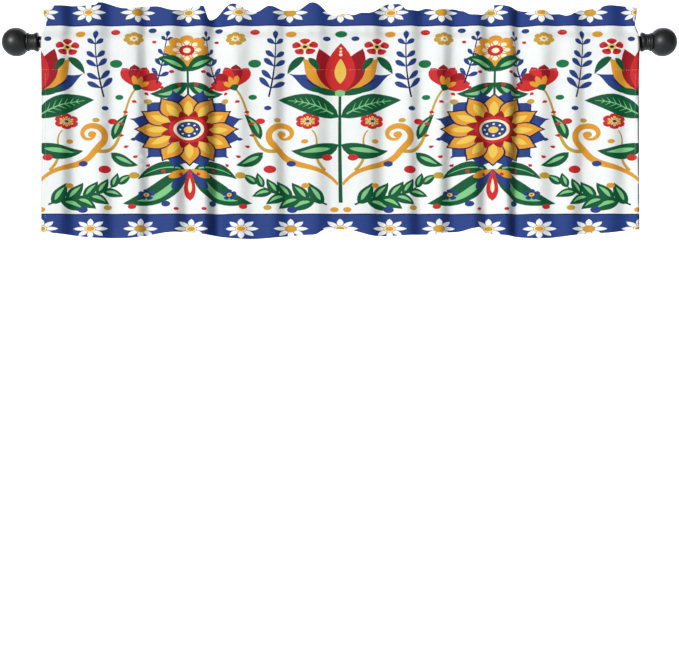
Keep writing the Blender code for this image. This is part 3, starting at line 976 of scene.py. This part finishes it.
def finial_profile():
    cut = math.pi - math.asin(BALL_CUT / BALL_RADIUS)
    pts = []
    for i in range(41):
        a = cut * i / 40
        pts.append((BALL_CENTRE + BALL_RADIUS * math.cos(a), BALL_RADIUS * math.sin(a)))
    pts[0] = (BALL_CENTRE + BALL_RADIUS, 0.0)
    pts += [(25.05, 19.9), (25.2, 18.6), (25.4, 17.0)]
    pts += [(t.reach, t.radius) for t in NECK]
    pts += [(0.0, STUD_RADIUS), (-STUD_LENGTH + 0.7, STUD_RADIUS), (-STUD_LENGTH, STUD_RADIUS - 0.7),
            (-STUD_LENGTH, 0.0)]
    return pts


def rod_profile():
    hole = STUD_RADIUS + FIT_GAP
    depth = ROD_HALF - STUD_LENGTH - 2.0
    upper = [(depth, 0.0), (depth, hole), (ROD_HALF - 0.4, hole), (ROD_HALF, hole + 0.4),
             (ROD_HALF, ROD_RADIUS - 1.0), (ROD_HALF - 0.3, ROD_RADIUS - 0.3),
             (ROD_HALF - 1.0, ROD_RADIUS)]
    bands = [(ROD_HALF - 1.0 - (2 * ROD_HALF - 2.0) * i / 40, ROD_RADIUS) for i in range(1, 40)]
    return upper + bands + [(-r, q) for r, q in reversed(upper)]


# ================================================================ materials
def srgb(r, g, b):
    out = []
    for c in (r, g, b):
        c /= 255
        out.append(c / 12.92 if c <= 0.04045 else ((c + 0.055) / 1.055) ** 2.4)
    return (*out, 1.0)


INK_COLOURS = {
    "ground": srgb(234, 237, 236), "blue": srgb(38, 62, 128), "navy": srgb(22, 34, 84),
    "red": srgb(196, 40, 42), "dark_red": srgb(150, 20, 32), "orange": srgb(216, 150, 46),
    "yellow": srgb(226, 190, 80), "cream": srgb(238, 228, 194), "dark_green": srgb(8, 84, 50),
    "green": srgb(24, 112, 68), "light_green": srgb(124, 193, 130), "gold": srgb(192, 154, 52),
}


def mixed(a, b, f):
    return tuple(x * (1 - f) + y * f for x, y in zip(a, b))


def fabric_finish():
    """Node group: uneven dye, threads and slubs of a smooth woven polyester."""
    group = bpy.data.node_groups.new("ClothFinish", "ShaderNodeTree")
    face = group.interface
    face.new_socket("Tint", in_out="OUTPUT", socket_type="NodeSocketFloat")
    face.new_socket("Roughness", in_out="OUTPUT", socket_type="NodeSocketFloat")
    face.new_socket("Normal", in_out="OUTPUT", socket_type="NodeSocketVector")
    nodes, links = group.nodes, group.links
    out = nodes.new("NodeGroupOutput")
    uv = nodes.new("ShaderNodeUVMap")
    uv.uv_map = "Flat"
    split = nodes.new("ShaderNodeSeparateXYZ")
    links.new(uv.outputs["UV"], split.inputs[0])

    def math_node(op, a, b=None, c=None):
        node = nodes.new("ShaderNodeMath")
        node.operation = op
        for k, value in enumerate((a, b, c)):
            if value is None:
                continue
            if isinstance(value, (int, float)):
                node.inputs[k].default_value = value
            else:
                links.new(value, node.inputs[k])
        return node.outputs[0]

    def noise(scale, detail, squash=(1, 1, 1), rough=0.5):
        mapping = nodes.new("ShaderNodeMapping")
        mapping.inputs["Scale"].default_value = squash
        links.new(uv.outputs["UV"], mapping.inputs["Vector"])
        node = nodes.new("ShaderNodeTexNoise")
        node.inputs["Scale"].default_value = scale
        node.inputs["Detail"].default_value = detail
        node.inputs["Roughness"].default_value = rough
        links.new(mapping.outputs["Vector"], node.inputs["Vector"])
        return node.outputs["Fac"]

    cloud = noise(22.0, 3)
    dye = noise(180.0, 3)
    slub_u = noise(420.0, 2, (0.06, 1, 1))
    slub_v = noise(420.0, 2, (1, 0.06, 1))
    grain = noise(1500.0, 1)
    # threads, 0.5 mm apart each way
    warp = math_node("SINE", math_node("MULTIPLY", split.outputs["X"], 2 * math.pi / 0.00055))
    weft = math_node("SINE", math_node("MULTIPLY", split.outputs["Y"], 2 * math.pi / 0.00055))
    weave = math_node("MULTIPLY", warp, weft)
    height = math_node("ADD", math_node("MULTIPLY", weave, 0.5), math_node("MULTIPLY", slub_u, 0.9))
    height = math_node("ADD", height, math_node("MULTIPLY", slub_v, 0.9))
    height = math_node("ADD", height, math_node("MULTIPLY", grain, 0.25))
    bump = nodes.new("ShaderNodeBump")
    bump.inputs["Strength"].default_value = 0.35
    bump.inputs["Distance"].default_value = 0.00018
    links.new(height, bump.inputs["Height"])

    tint = math_node("MULTIPLY_ADD", cloud, 0.05, 0.945)
    tint = math_node("ADD", tint, math_node("MULTIPLY_ADD", dye, 0.05, -0.025))
    tint = math_node("ADD", tint, math_node("MULTIPLY_ADD", slub_u, 0.06, -0.03))
    tint = math_node("ADD", tint, math_node("MULTIPLY_ADD", slub_v, 0.05, -0.025))
    tint = math_node("ADD", tint, math_node("MULTIPLY_ADD", weave, 0.012, 0.0))
    rough = math_node("MULTIPLY_ADD", dye, 0.16, 0.46)
    links.new(tint, out.inputs["Tint"])
    links.new(rough, out.inputs["Roughness"])
    links.new(bump.outputs["Normal"], out.inputs["Normal"])
    return group


def fabric(name, colour, group, sheen):
    material = bpy.data.materials.new(name)
    material.use_nodes = True
    nodes, links = material.node_tree.nodes, material.node_tree.links
    shader = nodes["Principled BSDF"]
    shader.inputs["Sheen Weight"].default_value = sheen
    shader.inputs["Sheen Roughness"].default_value = 0.45
    shader.inputs["Specular IOR Level"].default_value = 0.10
    finish = nodes.new("ShaderNodeGroup")
    finish.node_tree = group
    colour_node = nodes.new("ShaderNodeMix")
    colour_node.data_type = "RGBA"
    colour_node.blend_type = "MULTIPLY"
    colour_node.inputs[0].default_value = 1.0
    colour_node.inputs[6].default_value = colour
    links.new(finish.outputs["Tint"], colour_node.inputs[7])
    links.new(colour_node.outputs[2], shader.inputs["Base Color"])
    links.new(finish.outputs["Roughness"], shader.inputs["Roughness"])
    links.new(finish.outputs["Normal"], shader.inputs["Normal"])
    return material


def thread(name, colour):
    material = bpy.data.materials.new(name)
    material.use_nodes = True
    nodes, links = material.node_tree.nodes, material.node_tree.links
    shader = nodes["Principled BSDF"]
    coords = nodes.new("ShaderNodeTexCoord")
    noise = nodes.new("ShaderNodeTexNoise")
    noise.inputs["Scale"].default_value = 900.0
    links.new(coords.outputs["Object"], noise.inputs["Vector"])
    ramp = nodes.new("ShaderNodeValToRGB")
    ramp.color_ramp.elements[0].position = 0.3
    ramp.color_ramp.elements[0].color = (*(c * 0.8 for c in colour[:3]), 1)
    ramp.color_ramp.elements[1].position = 0.7
    ramp.color_ramp.elements[1].color = colour
    links.new(noise.outputs["Fac"], ramp.inputs["Fac"])
    links.new(ramp.outputs["Color"], shader.inputs["Base Color"])
    bump = nodes.new("ShaderNodeBump")
    bump.inputs["Strength"].default_value = 0.4
    bump.inputs["Distance"].default_value = 0.0001
    links.new(noise.outputs["Fac"], bump.inputs["Height"])
    links.new(bump.outputs["Normal"], shader.inputs["Normal"])
    shader.inputs["Roughness"].default_value = 0.6
    shader.inputs["Sheen Weight"].default_value = 0.3
    return material


def black_metal(name, tone, rough, wear):
    """Satin black coat: faint mottling, fine orange peel, rubbed edges."""
    material = bpy.data.materials.new(name)
    material.use_nodes = True
    nodes, links = material.node_tree.nodes, material.node_tree.links
    shader = nodes["Principled BSDF"]
    coords = nodes.new("ShaderNodeTexCoord")

    def noise(scale, detail):
        node = nodes.new("ShaderNodeTexNoise")
        node.inputs["Scale"].default_value = scale
        node.inputs["Detail"].default_value = detail
        links.new(coords.outputs["Object"], node.inputs["Vector"])
        return node

    mottle, peel = noise(60.0, 4), noise(900.0, 2)
    base = nodes.new("ShaderNodeValToRGB")
    base.color_ramp.elements[0].position = 0.35
    base.color_ramp.elements[0].color = (*(c * 0.78 for c in tone), 1)
    base.color_ramp.elements[1].position = 0.68
    base.color_ramp.elements[1].color = (*(c * 1.25 for c in tone), 1)
    links.new(mottle.outputs["Fac"], base.inputs["Fac"])
    geometry = nodes.new("ShaderNodeNewGeometry")
    edge = nodes.new("ShaderNodeMapRange")
    edge.inputs["From Min"].default_value = 0.53
    edge.inputs["From Max"].default_value = 0.62
    edge.inputs["To Max"].default_value = wear
    links.new(geometry.outputs["Pointiness"], edge.inputs["Value"])
    worn = nodes.new("ShaderNodeMix")
    worn.data_type = "RGBA"
    worn.inputs[7].default_value = (*(min(c * 5.0, 0.2) for c in tone), 1)
    links.new(edge.outputs["Result"], worn.inputs[0])
    links.new(base.outputs["Color"], worn.inputs[6])
    links.new(worn.outputs[2], shader.inputs["Base Color"])
    gloss = nodes.new("ShaderNodeMapRange")
    gloss.inputs["From Min"].default_value = 0.3
    gloss.inputs["From Max"].default_value = 0.7
    gloss.inputs["To Min"].default_value = rough - 0.05
    gloss.inputs["To Max"].default_value = rough + 0.07
    links.new(mottle.outputs["Fac"], gloss.inputs["Value"])
    links.new(gloss.outputs["Result"], shader.inputs["Roughness"])
    bump = nodes.new("ShaderNodeBump")
    bump.inputs["Strength"].default_value = 0.25
    bump.inputs["Distance"].default_value = 0.0001
    links.new(peel.outputs["Fac"], bump.inputs["Height"])
    links.new(bump.outputs["Normal"], shader.inputs["Normal"])
    shader.inputs["Metallic"].default_value = 0.25
    shader.inputs["Specular IOR Level"].default_value = 0.5
    shader.inputs["Coat Weight"].default_value = 0.15
    shader.inputs["Coat Roughness"].default_value = 0.35
    return material


# ================================================================ build
finish = fabric_finish()
white = INK_COLOURS["ground"]
printed_inks = [fabric("print_" + name, INK_COLOURS[name], finish, 0.03) for name in INKS]
wrong_white = srgb(232, 233, 238)
wrong_inks = [fabric("wrong_" + name, mixed(wrong_white, INK_COLOURS[name], 0.16), finish, 0.08)
              for name in INKS]
valance = build_valance(printed_inks, wrong_inks)
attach(valance, "root")
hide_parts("valance")
hem_edge, end_edge = sheet_rows(np.linspace(0, FLAT_WIDTH, 200))[0][[0, -1]]

us = np.linspace(1.5, FLAT_WIDTH - 1.5, 1300)
line_x = np.interp(us, ARC_U, ARC_X)
tops, hems = eased(TOP, "z", line_x), eased(HEM, "z", line_x)
level = np.full_like(us, 1.0)
seam_lines = [
    (us, level * TOP_SEAM_Z),
    (us, 2 * tops - TOP_SEAM_Z - 0.4),
    (us, level * LOW_SEAM_Z),
    (us, 2 * tops - TOP_SEAM_Z + BACK_RUN[-2]),
]
seam_stitches = build_stitches("seam_stitches", seam_lines, thread("thread_white", srgb(236, 237, 242)))
hem_lines = [(us, hems + HEM_STITCH), (us, hems - HEM_STITCH)]
hem_stitches = build_stitches("hem_stitches", hem_lines, thread("thread_blue", srgb(46, 70, 142)))
side_v = np.linspace(float(hems[0]) + HEM_DEPTH + 4.0, LOW_SEAM_Z - 6.0, 300)
side_v2 = np.linspace(float(hems[-1]) + HEM_DEPTH + 4.0, LOW_SEAM_Z - 6.0, 300)
side_lines = [(np.full(300, SIDE_STITCH), side_v), (np.full(300, -SIDE_STITCH), side_v),
              (np.full(300, FLAT_WIDTH - SIDE_STITCH), side_v2),
              (np.full(300, FLAT_WIDTH + SIDE_STITCH), side_v2)]
side_stitches = build_stitches("side_stitches", side_lines, thread("thread_side", srgb(236, 237, 242)))
for piece in (seam_stitches, hem_stitches, side_stitches):
    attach(piece, "root")

rod_coat = black_metal("rod_coat", (0.012, 0.012, 0.013), 0.34, 0.25)
finial_coat = black_metal("finial_coat", (0.019, 0.019, 0.020), 0.47, 0.5)
rod = lathe("rod_turned", rod_profile(), 96, rod_coat, 0.0, 1)
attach(rod, "root")
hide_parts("rod")
for name, sign in (("finial_right", 1), ("finial_left", -1)):
    piece = lathe(name + "_turned", finial_profile(), 96, finial_coat, sign * (ROD_HALF + FIT_GAP), sign)
    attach(piece, "root")
    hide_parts(name)

# ================================================================ studio
FLOOR_Z = -1.33
BACK_Y = 9.0
SWEEP = 2.4


def backdrop():
    """Pale floor that curves up far behind the object."""
    profile = [(-22.0, FLOOR_Z), (BACK_Y - SWEEP, FLOOR_Z)]
    for i in range(1, 17):
        a = math.pi / 2 * i / 16
        profile.append((BACK_Y - SWEEP + SWEEP * math.sin(a), FLOOR_Z + SWEEP * (1 - math.cos(a))))
    profile.append((BACK_Y, 7.0))
    verts, faces = [], []
    for x in (-20.0, 20.0):
        verts += [(x, y, z) for y, z in profile]
    n = len(profile)
    for i in range(n - 1):
        faces.append((i, i + n, i + n + 1, i + 1))
    obj = new_mesh_object("studio_floor", verts, faces)
    material = bpy.data.materials.new("studio_pale")
    material.use_nodes = True
    shader = material.node_tree.nodes["Principled BSDF"]
    shader.inputs["Base Color"].default_value = (0.86, 0.86, 0.86, 1)
    shader.inputs["Roughness"].default_value = 0.9
    # lifts the floor for the eye alone, so that it stays pale from every side
    shader.inputs["Emission Color"].default_value = (1.0, 1.0, 1.0, 1)
    seen = material.node_tree.nodes.new("ShaderNodeLightPath")
    lift = material.node_tree.nodes.new("ShaderNodeMath")
    lift.operation = "MULTIPLY"
    lift.inputs[1].default_value = 0.42
    material.node_tree.links.new(seen.outputs["Is Camera Ray"], lift.inputs[0])
    material.node_tree.links.new(lift.outputs[0], shader.inputs["Emission Strength"])
    obj.data.materials.append(material)
    obj.data.shade_smooth()


def area_light(name, place, target, size, power, size_y=None, spread=180):
    light = bpy.data.lights.new(name, "AREA")
    light.spread = math.radians(spread)
    light.shape = "RECTANGLE"
    light.size = size
    light.size_y = size_y or size
    light.energy = power
    light.color = (0.90, 0.98, 1.0)
    obj = bpy.data.objects.new(name, light)
    obj.location = place
    obj.rotation_euler = (Vector(target) - Vector(place)).to_track_quat("-Z", "Y").to_euler()
    bpy.context.scene.collection.objects.link(obj)


backdrop()
sun = bpy.data.lights.new("key", "SUN")
sun.energy = 3.18
sun.angle = math.radians(14)
sun_object = bpy.data.objects.new("key", sun)
sun_object.rotation_euler = Vector((0.66, 1.0, -0.18)).to_track_quat("-Z", "Y").to_euler()
bpy.context.scene.collection.objects.link(sun_object)
area_light("back", (0.6, 2.8, 1.4), (0, 0, -0.2), 2.0, 20)
area_light("floor_behind", (0.0, 4.2, 3.4), (0, 4.2, -1.3), 8.0, 230, 4.6, spread=110)
area_light("floor_before", (0.0, -5.8, 3.4), (0, -5.8, -1.3), 12.0, 80, 4.6, spread=80)

# white to the eye, but only a little light from all round
world = bpy.data.worlds.new("studio")
world.use_nodes = True
world_nodes, world_links = world.node_tree.nodes, world.node_tree.links
background = world_nodes["Background"]
background.inputs["Color"].default_value = (1.0, 1.0, 1.0, 1.0)
rays = world_nodes.new("ShaderNodeLightPath")
strength = world_nodes.new("ShaderNodeMapRange")
strength.inputs["To Min"].default_value = 0.06
strength.inputs["To Max"].default_value = 0.95
world_links.new(rays.outputs["Is Camera Ray"], strength.inputs["Value"])
world_links.new(strength.outputs["Result"], background.inputs["Strength"])
bpy.context.scene.world = world
bpy.context.scene.view_settings.view_transform = "Standard"

# the photograph's frame: 2 mm a pixel at the rod, middle of the picture level
# with a point 561 mm below the rod
PIXEL = 2.0 * MM
IMAGE_W, IMAGE_H = 679, 645
AXIS_ROW = 42.0
LENS = 90.0
camera_data = bpy.data.cameras.new("camera")
camera_data.lens = LENS
camera_data.sensor_width = 36.0
distance = IMAGE_W * PIXEL / 2 / (18.0 / LENS)
camera = bpy.data.objects.new("camera", camera_data)
camera.location = (0.0, -distance, -(IMAGE_H / 2 - AXIS_ROW) * PIXEL)
camera.rotation_euler = (math.radians(90), 0.0, 0.0)
bpy.context.scene.collection.objects.link(camera)
bpy.context.scene.camera = camera
